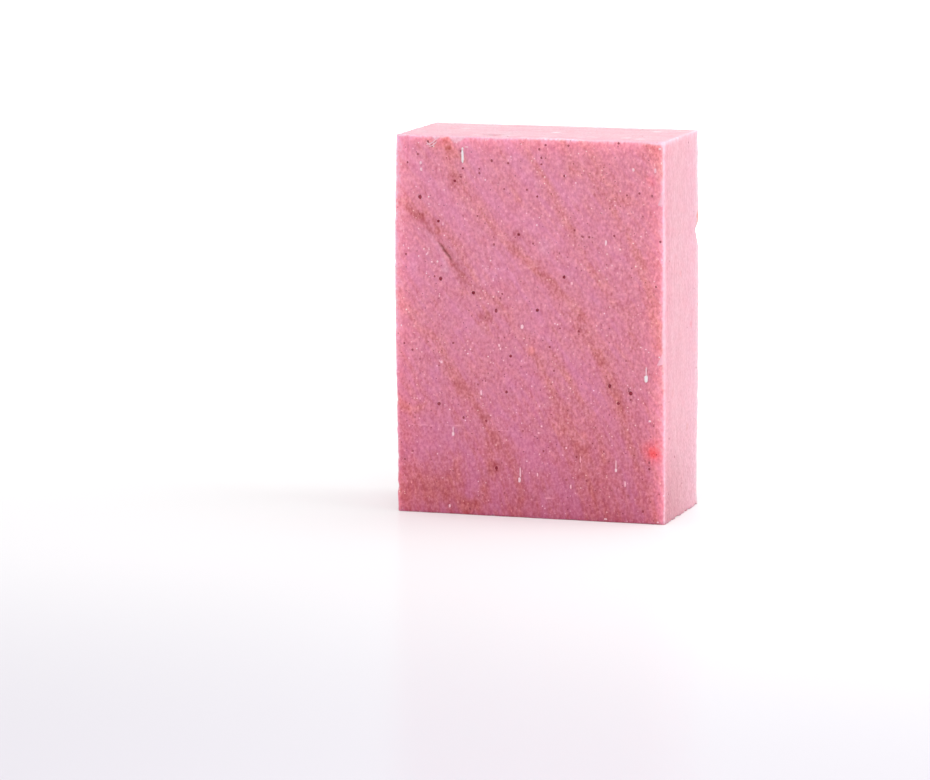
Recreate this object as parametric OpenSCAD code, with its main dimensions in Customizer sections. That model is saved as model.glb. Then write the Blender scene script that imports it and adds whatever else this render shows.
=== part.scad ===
// A hand-cut bar of cold-process soap, standing on one short end.
// X runs across the broad face, Y from the front broad face to the back one, and Z up from the resting end.
// The origin is the middle of the resting end.

/* [Bar] */
// Width at the crest of the two bowed sides
bar_width = 65.6; // [55:0.1:90]
// Thickness between the two broad faces
bar_depth = 29.5; // [22:0.5:45]
// Height from the resting end to the top end
bar_height = 89; // [80:0.5:120]
// How far the left side bows out halfway up
left_bow = 0.7; // [0.2:0.05:2]
// How far the right side bows out halfway up
right_bow = 0.45; // [0.2:0.05:2]
// Width that the worn bevel along each cut edge takes off the faces beside it
edge_bevel = 0.4; // [0.2:0.05:1.2]

/* [Chip on the back right edge] */
// From the top end down to the upper tip of the chip
chip_from_top = 21.9; // [5:0.1:40]
// Height of the chip along the edge
chip_height = 5.4; // [2:0.1:12]
// From the upper tip of the chip down to its deepest point
chip_lip = 1.2; // [0.5:0.1:1.8]
// Depth of the chip, measured in from the edge
chip_depth = 1.1; // [0.7:0.05:2]

/* [Fissure in the front face] */
// From the left edge to the head of the fissure
fissure_from_left = 10.1; // [6:0.1:20]
// From the top end down to the head of the fissure
fissure_from_top = 25.3; // [12:0.1:40]
// Width of the fissure where it meets the face
fissure_width = 0.9; // [0.5:0.05:1.5]
// Depth of the fissure
fissure_depth = 0.35; // [0.15:0.05:0.7]

/* [Drag mark in the front face] */
// From the left edge to the drag mark
drag_from_left = 16; // [12:0.1:25]
// From the top end down to the upper end of the drag mark
drag_from_top = 2.6; // [2:0.1:6]
// Length of the drag mark
drag_length = 3.7; // [1:0.1:5]
// Width of the drag mark where it meets the face
drag_width = 0.6; // [0.3:0.05:1]
// Depth of the drag mark
drag_depth = 0.2; // [0.1:0.05:0.3]

/* [Dent in the top end] */
// From the left edge to the middle of the dent
dent_from_left = 22.1; // [5:0.1:30]
// From the front face back to the middle of the dent
dent_from_front = 6.5; // [4:0.1:15]
// Length of the dent along the bar's width
dent_length = 3.4; // [2:0.1:5]
// Width of the dent where it meets the top end
dent_width = 1.3; // [0.6:0.05:2]
// Depth of the dent
dent_depth = 0.4; // [0.1:0.05:0.6]

/* [Burrs on the front right edge] */
// From the top end down to the upper burr
upper_burr_from_top = 12; // [4:0.1:30]
// From the resting end up to the foot of the lower burr
lower_burr_from_base = 37.5; // [10:0.1:45]
// Length of a burr along the edge
burr_length = 2.5; // [1:0.1:4]
// How far a burr is folded in over the front face
burr_width = 1.4; // [0.6:0.1:2.5]
// How far a burr stands proud of the front face
burr_lift = 0.25; // [0.1:0.05:0.5]

/* [Hidden] */

// Facets of a full turn of the very large circles that bow the sides
bow_facets = 2880;
// How far a cutting shape runs on past what it cuts
spare = 1;
// How deep a burr is rooted in the front face
burr_root = 0.3;
// The fissure's points from its head, as steps to the right and down
fissure_steps = [[0, 0], [1.9, -2.5], [3, -4], [3.8, -5.4]];

// The burrs count in the box that is centred on the origin, so the bar lies half their lift behind it
front_y = -(bar_depth - burr_lift) / 2;
back_y = front_y + bar_depth;
// Where the two sides meet the ends
left_x = left_bow - bar_width / 2;
right_x = bar_width / 2 - right_bow;

// Radius of the circle that rises by bow over the bar's height
function bow_radius(bow) = (pow(bar_height / 2, 2) + pow(bow, 2)) / (2 * bow);

// The inside of a bowed wall that faces the given way, its crest at this distance from the Z axis
module bowed_wall(facing, crest, bow) {
    radius = bow_radius(bow);
    rotate([0, 0, facing])
        translate([crest - radius, 0, bar_height / 2])
            rotate([90, 0, 0])
                cylinder(r = radius, h = 2 * (bar_width + bar_depth), center = true, $fn = bow_facets);
}

// The inside of the bevel along an upright edge, which bows with the side beside it
module bowed_bevel(facing, bow) {
    depth_reach = abs(facing) < 90 == facing > 0 ? back_y : -front_y;
    bowed_wall(facing, (bar_width / 2 + depth_reach - edge_bevel) / sqrt(2), bow / sqrt(2));
}

// Front view of the block: flat ends with bevelled corners, and room for the bowed sides
module front_prism() {
    room = left_bow + right_bow + spare;
    rotate([90, 0, 0])
        linear_extrude(height = 2 * bar_depth, center = true)
            polygon([
                [left_x + edge_bevel, 0],
                [right_x - edge_bevel, 0],
                [right_x + room, edge_bevel + room],
                [right_x + room, bar_height - edge_bevel - room],
                [right_x - edge_bevel, bar_height],
                [left_x + edge_bevel, bar_height],
                [left_x - room, bar_height - edge_bevel - room],
                [left_x - room, edge_bevel + room],
            ]);
}

// Side view of the block: flat faces and ends with bevelled corners
module side_prism() {
    rotate([90, 0, 90])
        linear_extrude(height = bar_width + 2 * spare, center = true)
            polygon([
                [front_y + edge_bevel, 0],
                [back_y - edge_bevel, 0],
                [back_y, edge_bevel],
                [back_y, bar_height - edge_bevel],
                [back_y - edge_bevel, bar_height],
                [front_y + edge_bevel, bar_height],
                [front_y, bar_height - edge_bevel],
                [front_y, edge_bevel],
            ]);
}

// The plain block: bowed sides, flat faces and ends, bevelled edges
module block() {
    intersection() {
        side_prism();
        front_prism();
        bowed_wall(0, bar_width / 2, right_bow);
        bowed_wall(180, bar_width / 2, left_bow);
        bowed_bevel(-45, right_bow);
        bowed_bevel(45, right_bow);
        bowed_bevel(135, left_bow);
        bowed_bevel(-135, left_bow);
    }
}

// A chip out of the back right edge, deepest a little below its upper tip
module chip() {
    upper = bar_height - chip_from_top;
    outline = [[0, upper], [-chip_depth, upper - chip_lip], [0, upper - chip_height], [spare, upper]];
    translate([bar_width / 2, back_y])
        rotate([90, 0, 45])
            linear_extrude(height = 4 * chip_depth, center = true)
                polygon(outline);
}

// Lays what is drawn in a horizontal plane onto the front face, its Z pointing out of the face
module on_front_face() {
    translate([0, front_y, 0])
        rotate([90, 0, 0])
            children();
}

// The V-shaped tool that cuts a groove of this width and depth through these points of the plane z = 0
module groove(points, width, depth) {
    for (i = [1 : len(points) - 1]) {
        run = points[i] - points[i - 1];
        translate(points[i - 1])
            rotate([90, 0, 90 + atan2(run.y, run.x)])
                linear_extrude(height = norm(run))
                    polygon([[-width, depth], [0, -depth], [width, depth]]);
    }
}

// The short crooked fissure that opens along a swirl in the soap
module fissure() {
    head = [left_x + fissure_from_left, bar_height - fissure_from_top];
    on_front_face()
        groove([for (step = fissure_steps) head + step], fissure_width, fissure_depth);
}

// The short upright mark that a crumb left when the bar was cut
module drag_mark() {
    top = [left_x + drag_from_left, bar_height - drag_from_top];
    on_front_face()
        groove([top, top - [0, drag_length]], drag_width, drag_depth);
}

// The short dent in the top end
module dent() {
    middle = [left_x + dent_from_left, front_y + dent_from_front];
    half = [dent_length / 2, 0];
    translate([0, 0, bar_height])
        groove([middle - half, middle + half], dent_width, dent_depth);
}

// A thin three-cornered burr of soap, folded from the edge onto the front face, its wide end at z = foot
module burr(foot) {
    outer_x = right_x - edge_bevel;
    on_front_face()
        translate([0, 0, -burr_root])
            linear_extrude(height = burr_root + burr_lift)
                polygon([[outer_x, foot], [outer_x, foot + burr_length], [outer_x - burr_width, foot]]);
}

soap_pink = [0.86, 0.52, 0.62];

// The whole bar, cast and cut as one piece
module soap_bar() {
    color(soap_pink) {
        difference() {
            block();
            chip();
            fissure();
            drag_mark();
            dent();
        }
        burr(bar_height - upper_burr_from_top - burr_length);
        burr(lower_burr_from_base);
    }
}

soap_bar();
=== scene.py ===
"""Looks of a hand-cut bar of soap: the sculpted block, its marks and materials, the studio and the camera.

Lengths are in millimetres until a mesh is made. X runs across the broad front face, Y to the back, Z up.
"""

import itertools
import math

import bpy
import numpy as np
from mathutils import Matrix, Vector, noise
from mathutils.bvhtree import BVHTree


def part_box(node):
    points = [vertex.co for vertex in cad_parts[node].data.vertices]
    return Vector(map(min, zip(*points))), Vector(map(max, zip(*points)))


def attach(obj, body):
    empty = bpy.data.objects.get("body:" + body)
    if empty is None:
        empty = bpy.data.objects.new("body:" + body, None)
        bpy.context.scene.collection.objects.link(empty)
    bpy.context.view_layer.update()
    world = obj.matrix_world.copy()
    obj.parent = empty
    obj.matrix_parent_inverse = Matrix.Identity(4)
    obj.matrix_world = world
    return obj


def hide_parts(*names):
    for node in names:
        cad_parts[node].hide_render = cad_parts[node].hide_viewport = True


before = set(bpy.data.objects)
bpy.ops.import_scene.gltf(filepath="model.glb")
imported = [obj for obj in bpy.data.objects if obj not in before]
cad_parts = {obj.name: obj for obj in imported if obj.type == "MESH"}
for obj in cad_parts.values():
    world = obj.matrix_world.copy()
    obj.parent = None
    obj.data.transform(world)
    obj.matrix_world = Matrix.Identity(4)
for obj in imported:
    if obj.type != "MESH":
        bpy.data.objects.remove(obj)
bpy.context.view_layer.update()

MM = 0.001
BOX_LOW, BOX_HIGH = (np.array(corner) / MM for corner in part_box("soap_bar"))

# Sizes that the solid part has too
BURR_LIFT = 0.25
LEFT_BOW = 0.7
RIGHT_BOW = 0.45
BURR_LENGTH = 2.5
BURR_WIDTH = 1.4
UPPER_BURR_FOOT = 74.5
LOWER_BURR_FOOT = 37.5

# The unbowed block, kept a hair inside the solid everywhere but at its foot
HAIR = 0.03
BLOCK_LOW = np.array([BOX_LOW[0] + LEFT_BOW, BOX_LOW[1] + BURR_LIFT, 0.0])
BLOCK_HIGH = np.array([BOX_HIGH[0] - RIGHT_BOW, BOX_HIGH[1] - HAIR, BOX_HIGH[2] - HAIR])
FRONT_Y = BLOCK_LOW[1]
HEIGHT = BOX_HIGH[2]

# Grid lines of the block's mesh along X, Y and Z, and where they are closer, as (place, reach, gain)
GRID_LINES = (152, 48, 206)
FINER_LINES = [
    [(-19.8, 2.3, 1.8), (-16.1, 0.8, 0.8), (-10, 2, 0.3)],
    [(-9, 2.5, 0.8)],
    [(60.7, 3.5, 1.4), (65.5, 3, 0.4)],
]

# The fissure's points on the front face, as (x, z)
FISSURE = [
    (-22.3, 64.4), (-21.45, 63.4), (-20.8, 62.4), (-20.05, 61.4), (-19.4, 60.7), (-18.9, 59.8),
    (-18.4, 59.1), (-17.3, 57.5), (-16.6, 55.7),
]

# The lip that runs in from the left and down beside the fissure, with a painted highlight, in the same way
LIP = [(-25, 66.2), (-23.55, 65.1), (-22.4, 63.7), (-21.3, 61.8), (-20.6, 59.8), (-19.9, 57.7)]

# How far the curtains lean along X for each millimetre back into the bar, and how strongly they colour it
LEAN = 0.45
CURTAIN_STRENGTH = 1.03

# Curtains of brown soap in the mauve, as lines of (x, z, half width, strength) on the front face
BROWN_CURTAINS = [
    [(-21, 92, 1.2, 0.4), (-19, 84, 1.6, 0.4), (-17.5, 79, 1.6, 0.45), (-14, 74.5, 1.2, 0.4),
     (-9, 68.5, 1, 0.45), (-4, 63.5, 1.1, 0.6), (2, 58.5, 1.4, 0.65), (5.5, 55.5, 1.5, 0.6),
     (10, 50.5, 2.2, 0.45), (13, 46, 2.6, 0.45), (16.5, 40, 1.8, 0.45), (19, 34, 1.4, 0.4),
     (21, 29.5, 1.3, 0.5), (23, 23, 1, 0.35), (25.5, 15, 0.9, 0.35), (28, 3, 0.9, 0.2)],
    [(-2, 90, 1, 0.25), (0.5, 84, 1, 0.35), (2.5, 81, 1.1, 0.45), (4.5, 78, 1.1, 0.45),
     (6.5, 74.5, 1.2, 0.4), (8.5, 71, 1.3, 0.4), (10.3, 68, 1.2, 0.5), (12, 65, 0.9, 0.35),
     (14, 61, 0.8, 0.3), (16, 57.5, 0.8, 0.45), (19, 54.5, 1.3, 0.35), (21.5, 51, 1.3, 0.3),
     (24, 48, 1, 0.3), (26, 42, 1, 0.2)],
    [(7, 90, 1, 0.4), (9, 85, 1.2, 0.35), (11, 81.5, 1.4, 0.4)],
    [(11.5, 90, 0.9, 0.35), (14, 86, 1, 0.35), (17, 82.5, 1.4, 0.4), (19, 78, 2.2, 0.4), (19.5, 75, 2, 0.4),
     (20.5, 72, 1, 0.6), (22, 70, 0.9, 0.3), (23.5, 68, 0.8, 0.6), (24.5, 65.5, 0.8, 0.5),
     (26, 62, 1, 0.55), (27, 59.5, 1.3, 0.55), (28.5, 57, 1.3, 0.6), (29, 53.5, 1.3, 0.55),
     (30.3, 48, 1.4, 0.6), (32, 42, 1.2, 0.6), (34, 34, 1.5, 0.5), (36, 24, 1.5, 0.5), (38, 12, 1.5, 0.5),
     (39, 2, 1.5, 0.4)],
    [(21, 76, 1, 0.3), (24, 75, 0.9, 0.35), (27, 74.8, 0.8, 0.3)],
    [(-33, 52, 1.2, 0.4), (-29, 47.5, 1.4, 0.45), (-27, 44.5, 1.6, 0.4), (-24.5, 42.7, 1.3, 0.5),
     (-22, 41, 1.3, 0.45), (-20.3, 37, 1.2, 0.4), (-18, 33.5, 1.5, 0.45), (-16, 30, 1.6, 0.55),
     (-14, 27, 1.8, 0.4), (-12.5, 24, 1.5, 0.4), (-11, 22.4, 1.2, 0.55), (-9.5, 19, 1.4, 0.35),
     (-10, 15, 1.2, 0.35), (-9.3, 11.8, 1.3, 0.5), (-10, 8, 1.1, 0.35), (-11.5, 4, 1.3, 0.4),
     (-15, 1.5, 1.5, 0.5)],
    [(-8.5, 19.5, 1.4, 0.3), (-6.5, 17, 2, 0.25), (-4.5, 13, 1.3, 0.35), (-3.3, 10, 1, 0.4),
     (-2.3, 6.5, 1, 0.5), (-1.8, 4.5, 1.1, 0.6), (-2.5, 0, 1.2, 0.35)],
    [(-15.5, 53, 1.5, 0.35), (-12, 52, 1.6, 0.35), (-8, 51, 1.2, 0.45), (-7, 49, 1.5, 0.4),
     (-5, 46.7, 1.3, 0.5), (-3, 44, 1.2, 0.3), (-0.5, 41, 1, 0.35), (1.5, 38.5, 1.2, 0.45),
     (3.3, 35, 1.3, 0.55), (5, 32, 1.3, 0.55), (6.3, 28.5, 1.4, 0.5), (8, 25, 2.2, 0.45),
     (9.5, 21, 2.4, 0.4), (11.5, 18, 2.2, 0.45), (13, 16.5, 1.8, 0.55), (12.5, 13, 2.2, 0.45),
     (14, 10, 2, 0.4), (15, 8.5, 1.3, 0.55), (16, 5.5, 1.2, 0.55), (17, 1, 1.5, 0.4)],
    [(3.5, 41.5, 0.8, 0.3), (6, 38.5, 0.9, 0.3), (7.5, 36, 1, 0.45), (9.5, 33.5, 0.9, 0.35),
     (11.5, 29, 1.2, 0.3), (13.5, 25.5, 1.4, 0.35), (15, 22.5, 1.2, 0.3), (17, 18.5, 0.9, 0.3),
     (18.5, 15.5, 0.9, 0.35), (17.5, 10, 0.8, 0.3)],
    [(-31, 74, 0.9, 0.45), (-29, 72, 1, 0.55), (-27, 70, 1.2, 0.55), (-25, 70.5, 0.8, 0.4)],
    [(-22.3, 67, 0.9, 0.5), (-20, 66.5, 0.9, 0.4), (-18, 64, 0.9, 0.5), (-16, 61, 1, 0.5),
     (-14.5, 58.5, 0.9, 0.5), (-12.7, 56, 1, 0.55)],
    [(-21.5, 64, 0.5, 0.2), (-20, 61.8, 0.8, 0.6), (-19, 59, 0.7, 0.4), (-17.5, 57, 0.7, 0.3),
     (-16.5, 55.8, 0.8, 0.4)],
    [(-33, 27, 0.9, 0.6), (-31, 24.5, 1, 0.55), (-28, 24.3, 0.9, 0.5), (-25.5, 25.7, 0.6, 0.4)],
    [(-30, 9.5, 2, 0.4), (-26, 8, 2.2, 0.5), (-21, 7.5, 1.8, 0.4), (-18.5, 8.5, 1.3, 0.4),
     (-17.6, 12, 0.9, 0.4)],
    [(-31, 4.5, 2.2, 0.45), (-25, 4, 2.2, 0.4), (-19, 5, 1.6, 0.5), (-15, 2, 1.8, 0.4)],
    [(-4.5, 81, 1.2, 0.2), (-3.7, 78, 1, 0.2), (-3, 74.5, 1, 0.4)],
    [(-7.5, 79, 1.5, 0.2), (-6.5, 76.5, 1, 0.15)],
    [(-6.7, 86.5, 0.8, 0.3), (-6, 84, 0.7, 0.25)],
    [(-20, 90, 0.8, 0.5), (-19.8, 86.5, 1.2, 0.6), (-18.5, 85, 1, 0.4), (-16.3, 84, 0.8, 0.4)],
    [(-24.3, 87.5, 1, 0.35), (-23, 86.5, 0.8, 0.3)],
    [(-10.8, 48.5, 0.7, 0.3), (-10.3, 46.3, 0.9, 0.5), (-10, 43, 0.6, 0.2)],
    [(17.3, 39.5, 0.9, 0.4), (17.5, 38, 0.8, 0.3)],
    [(28, 92, 1.5, 0.5), (33, 80, 1.8, 0.5), (37, 68, 1.8, 0.5), (40, 56, 1.8, 0.45), (43, 42, 2, 0.5),
     (45, 28, 2, 0.4), (47, 12, 2, 0.4)],
    [(38, 92, 2, 0.4), (42, 78, 2, 0.5), (45, 66, 2, 0.4), (48, 52, 2, 0.4)],
]

# Clearer mauve between them, in the same way
MAUVE_CURTAINS = [
    [(-31, 87, 1.6, 0.35), (-29, 84.5, 1.5, 0.25), (-26, 80, 1.6, 0.3), (-24, 77.5, 1.5, 0.3),
     (-21, 74.5, 1.6, 0.35), (-19, 70.5, 1.6, 0.35), (-17, 68, 1.4, 0.3), (-15, 66, 1.3, 0.15)],
    [(-18, 90, 1.2, 0.3), (-15.5, 87.5, 1.5, 0.3), (-13.5, 85, 1.4, 0.3), (-13, 81, 1.5, 0.2),
     (-11, 77, 1.4, 0.2), (-9, 75, 1.3, 0.3), (-6, 72.5, 1.2, 0.3), (-4, 70, 1.3, 0.3),
     (-1, 68.5, 1.5, 0.1), (3, 67, 1.6, 0.25), (5, 62, 1.2, 0.25), (7, 59.5, 1.2, 0.2), (12, 58, 1.3, 0.2),
     (14.5, 54, 1.6, 0.15), (17, 50.5, 1.5, 0.15)],
    [(-6, 90, 1.1, 0.25), (-4, 86, 1.1, 0.3), (-2, 82, 1.2, 0.3), (0, 79, 1.5, 0.3), (1.5, 76.5, 1.2, 0.3)],
    [(2, 85, 0.9, 0.2), (5, 81.5, 1.1, 0.25), (7.8, 77.8, 1.2, 0.35), (10, 75, 1.5, 0.2),
     (12.5, 76.5, 1.2, 0.25)],
    [(13, 71, 1.5, 0.15), (17, 69, 1.4, 0.15), (19, 65.5, 1.3, 0.2), (21.5, 62, 1.3, 0.15)],
    [(-28.8, 60.5, 0.8, 0.4), (-28, 57, 1, 0.45), (-26.8, 54.5, 0.8, 0.35)],
    [(-7, 57.5, 1.3, 0.25), (-3.5, 57, 1.3, 0.3)],
    [(-2, 51.7, 1, 0.25), (-0.5, 51, 0.9, 0.2)],
    [(2, 48, 1.3, 0.4), (2.6, 46.8, 1.2, 0.4)],
    [(4, 43.5, 1.2, 0.25), (7, 40.5, 1.2, 0.2), (9.3, 37.5, 1.2, 0.3), (12, 35, 1.5, 0.25),
     (15, 31, 1.6, 0.3), (17, 28, 1.5, 0.25), (19, 24, 1.5, 0.2), (21.5, 18, 1.5, 0.2),
     (23.8, 11, 1.2, 0.35), (27, 2, 1.2, 0.3)],
    [(-18.5, 50.5, 0.9, 0.35), (-18, 48.5, 1.4, 0.3), (-14.5, 46, 1.2, 0.3), (-17, 43, 1.2, 0.2)],
    [(-2.8, 38, 0.9, 0.3), (-1.5, 36, 0.9, 0.2), (1, 32, 0.9, 0.2), (3.5, 28.5, 0.8, 0.15)],
    [(-5, 33, 1, 0.35), (-4.5, 31, 1.1, 0.35)],
    [(-23, 34, 1.3, 0.2), (-23, 31, 1.5, 0.3), (-24.5, 29.5, 1.2, 0.25)],
    [(-7.5, 25, 1, 0.5), (-5.5, 23.8, 0.9, 0.35)],
    [(-3, 22.5, 0.8, 0.35), (-3.8, 20, 1, 0.5), (-1.5, 17, 1.6, 0.3), (2, 14, 2.4, 0.3), (5, 12, 2.4, 0.3),
     (6.5, 9, 1.8, 0.25), (8.2, 6.5, 1.4, 0.35), (11, 3, 2.2, 0.3)],
    [(1.5, 18.5, 1.5, 0.25), (0, 9, 1.5, 0.3)],
    [(3.8, 6, 1.1, 0.35), (3.5, 1, 1.3, 0.35)],
    [(-28.5, 15, 1.6, 0.3), (-25, 15.8, 1.4, 0.4), (-22, 16, 1.4, 0.2)],
    [(-26.5, 12.5, 1.1, 0.25), (-23, 12.5, 1.5, 0.15)],
    [(-24, 20.5, 2, 0.2), (-20, 21, 2, 0.2)],
    [(-18, 19.5, 1, 0.3), (-19, 17.5, 1.2, 0.35), (-16.5, 15.5, 1.2, 0.35), (-14.2, 13, 1.3, 0.35),
     (-13.8, 9.5, 1.5, 0.4), (-14.5, 5.5, 1.6, 0.4)],
    [(-8, 8, 1.4, 0.2), (-7.5, 2, 1.6, 0.25)],
]

# Places where the brown soap lies thick and dark, in the same way
DARK_CURTAINS = [
    [(-29.5, 72.5, 0.8, 0.3), (-27.5, 70.5, 1, 0.5), (-26, 69.3, 1.1, 0.6), (-24.5, 67.5, 0.8, 0.4),
     (-22.8, 65.5, 0.7, 0.2), (-21.5, 63.5, 0.5, 0.1)],
    [(-22.8, 69.3, 0.5, 0.4), (-22, 67.3, 0.8, 0.4)],
    [(-18.5, 59, 0.8, 0.3), (-17.5, 57.5, 0.9, 0.3), (-16.5, 56, 1.1, 0.35), (-15, 54.5, 0.8, 0.2)],
    [(-3.5, 67, 0.9, 0.35), (-2.8, 66, 0.8, 0.3)],
    [(-4, 64.5, 0.8, 0.25), (-3.2, 62.7, 0.8, 0.35)],
    [(2, 58.5, 1, 0.15), (5, 56, 1.2, 0.25), (7.5, 54, 1, 0.2)],
    [(12.3, 49, 0.8, 0.15), (12, 46, 1, 0.3), (13, 44.5, 0.8, 0.2)],
    [(-11, 46.5, 0.8, 0.35), (-9.6, 46.6, 1, 0.4)],
    [(16, 39.5, 1, 0.2), (17, 38, 1, 0.2)],
    [(20.5, 33, 0.7, 0.1), (21.8, 28.2, 0.9, 0.35), (23, 24, 0.8, 0.15)],
    [(-17.5, 31, 0.8, 0.3), (-16, 30, 0.9, 0.35), (-15, 28.5, 0.8, 0.2)],
    [(-12.5, 25, 1, 0.25), (-11, 22.5, 0.8, 0.3)],
    [(11, 19, 1, 0.15), (12, 16.5, 1.5, 0.25), (14.5, 17.5, 1.2, 0.2)],
    [(-9, 12.5, 0.9, 0.3), (-8, 11.5, 1, 0.4)],
    [(-8, 18.5, 1.6, 0.2), (-6.5, 16, 1.6, 0.2)],
    [(15, 79.5, 0.8, 0.15), (19, 75, 0.8, 0.15)],
    [(-18.5, 79.5, 0.9, 0.25), (-17.8, 77.5, 0.9, 0.25)],
    [(-2, 5, 0.8, 0.25), (-1.5, 3, 0.8, 0.2)],
    [(-26, 6, 1.6, 0.2), (-19, 5, 1.5, 0.2)],
    [(19.2, 33, 0.6, 0.3), (18.8, 31.5, 0.6, 0.25)],
]

# The middle of the oval dent in the top end, as (x, y), and how far it spreads each way
DENT = (-10.3, -9.3)
DENT_SPREAD = (3.1, 2)

# The big chip in the back right edge: its deepest place, its reach down and up, and its depth
CHIP = (65.9, 4.8, 1.4, 1.25)

# Random nicks along the ragged foot of the right side
FOOT_NICKS = 14

# Nicks in the front left edge, as (z, reach along the edge, depth)
LEFT_NICKS = [
    (26.5, 1.6, 0.5), (20.5, 1.2, 0.4), (13, 1.8, 0.55), (10, 1, 0.4), (6, 1.5, 0.5), (70, 3, 0.3),
]

# Dark specks on the front face, as (x, z)
LARGE_SPECKS = [
    (-26.5, 74.5), (-18, 78.5), (-22, 69), (-21.5, 55.5), (-8, 48.5), (2, 49), (-4.5, 38), (8.5, 57),
    (19.5, 32), (24.5, 30.5), (21.5, 28), (-2.5, 66.5), (-13.5, 52.5), (-22, 26), (-5.5, 29.5), (-8, 11.5),
]
SMALL_SPECKS = [
    (-29.5, 82.5), (-27, 84.5), (-24.5, 87.5), (-23.5, 86.5), (-16, 81.5), (-16.5, 79.5), (-16.5, 85.5),
    (-12, 81.5), (-12, 80.5), (-9, 83.5), (4, 87.5), (2.5, 86.5), (3, 84.5), (3, 83), (9.5, 87.5),
    (8.5, 80.5), (-5, 83), (-6, 77), (-0.5, 77), (2, 75.5), (26.5, 77), (23.5, 76.5), (29.5, 76.5),
    (30.5, 55.5), (31.5, 66), (-23, 56), (-30, 61), (-12.5, 70.5), (-6.5, 52.5), (-7, 51.5), (1, 64.5),
    (-8.5, 64), (20.5, 67), (13, 66.5), (14.5, 66.5), (11, 68), (-30.5, 40), (-18.5, 40.5), (-28.5, 38.5),
    (5, 40.5), (6, 35), (-12.5, 31), (-16, 23), (-10.5, 22.5), (-1.5, 20.5), (3.5, 16), (-28.5, 14.5),
    (-30.5, 12.5), (-21, 5), (-14.5, 1.5), (24.5, 29), (12, 44.5), (7.5, 45), (9, 9.5), (14, 9.5),
    (24, 6.5), (29, 14.5), (29, 13), (11.5, 15), (27.5, 3), (21.5, 88.4),
]

# Random specks on the other faces, as {(axis, end of it): count}
SPECKS_PER_FACE = {(1, 1): 80, (0, 0): 16, (0, 1): 12, (2, 0): 12, (2, 1): 7}

# Random smears on the back face
BACK_SMEARS = 20

# Pale smears and crumbs on the front face, as (x, z, width, height, whiteness)
SMEARS = [
    (-16.1, 84.2, 0.6, 3.3, 1), (-16.1, 86.1, 0.5, 0.6, 0.8), (-15.1, 86.5, 0.9, 0.3, 0.3),
    (28.2, 34, 0.85, 1.7, 1), (28.2, 35.7, 0.3, 2.4, 0.4), (-21.4, 35.9, 0.6, 0.7, 0.3),
    (-1.7, 45, 0.7, 1.1, 0.35), (-18.6, 19, 0.6, 1, 0.4), (-18.6, 20, 0.25, 1.6, 0.3),
    (-2.4, 8.9, 0.6, 1.3, 0.4), (-2.2, 10.6, 0.3, 2.6, 0.3), (-11.7, 29.1, 0.45, 1.3, 0.25),
    (-7.3, 40.4, 0.5, 0.7, 0.2), (-7, 39.6, 0.4, 0.6, 0.2), (21, 12.3, 0.55, 0.9, 0.5),
    (21, 13.6, 0.25, 2.4, 0.3), (23.2, 9.2, 0.3, 1.5, 0.2), (29.1, 24.2, 0.6, 0.5, 0.5),
    (25, 82.4, 0.6, 0.8, 0.35), (18.5, 65.3, 0.5, 1.3, 0.45), (21.9, 63.9, 0.5, 0.5, 0.3),
    (-22.3, 59.5, 0.5, 0.6, 0.4), (-23.7, 59.4, 0.5, 0.5, 0.3), (10.3, 55.6, 0.5, 0.7, 0.2),
    (-26.2, 81, 0.5, 0.9, 0.35), (-26.3, 82.5, 0.5, 0.8, 0.35), (18.5, 0.7, 0.9, 0.4, 0.2),
    (-19.5, 1.9, 0.5, 0.8, 0.15), (-24.7, 61.4, 0.4, 0.7, 0.1), (-20.9, 68.4, 0.3, 0.8, 0.1),
    (31.3, 87.4, 0.6, 0.5, 0.5), (30.2, 82.3, 0.6, 1.2, 0.15), (9, 17, 0.45, 0.5, 0.2),
    (3, 21.8, 0.5, 0.4, 0.25), (2.3, 20.2, 0.45, 0.45, 0.1), (10.1, 7.9, 0.35, 1.1, 0.2),
    (12.4, 14.4, 0.2, 1.6, 0.15), (2, 10.3, 0.35, 0.9, 0.2), (31.1, 0.6, 0.5, 0.4, 0.2),
]

# How far the top's pale skin, with its painted sheen, hangs over the front face, as (x, millimetres), or
# falls short of it below 0
TOP_HANG = [
    (-32.8, 0.6), (-30, 0.3), (-25.5, 0.1), (-23.7, 0.3), (-22.5, 1.3), (-21.2, 0.1), (-19.5, 0.2),
    (-18, 1.6), (-16.5, 1.3), (-15, 0.2), (-10.5, 0.1), (-7.5, 0.5), (-5.5, 0.25), (-1.5, 0.1), (6, -0.1),
    (12, -0.2), (15, 0.4), (21, 0.2), (27, 0.4), (31, 0.8),
]

# How far the side's pale skin, with its painted sheen, reaches over the front face's right edge, as (z,
# millimetres)
RIGHT_HANG = [
    (0, 0.5), (2, 0.6), (4, 0.4), (6, 0.2), (8, 0), (38, 0.1), (41, 0.6), (44.5, 0.75), (47, 0.45),
    (50, 0.7), (53, 0.4), (57, 0), (75, 0), (77, 0.9), (79, 0.1), (89, 0.2),
]


def wobble(points, size, seed):
    """Smooth noise from -1 to 1 at each point, with waves about as long as size."""
    return np.array([noise.noise(p) for p in (points / size + 37.0 * seed).tolist()])


def smooth_step(value):
    """0 below 0, 1 above 1, and a smooth step between."""
    value = np.clip(value, 0, 1)
    return value * value * (3 - 2 * value)


def bell(distance, reach):
    """1 at no distance, falling like a bell to a third at reach."""
    return np.exp(-((distance / reach) ** 2))


def graded_lines(low, high, count, finer):
    """Grid lines from low to high, closer at the ends and at the (place, reach, gain) entries of finer."""
    places = np.linspace(low, high, 4001)
    density = 1 + 3.5 * np.exp(-(places - low) / 0.5) + 3.5 * np.exp(-(high - places) / 0.5)
    for place, reach, gain in finer:
        density += gain * bell(places - place, reach)
    total = np.concatenate([[0], np.cumsum((density[1:] + density[:-1]) / 2)])
    return np.interp(np.linspace(0, total[-1], count), total, places)


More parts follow.
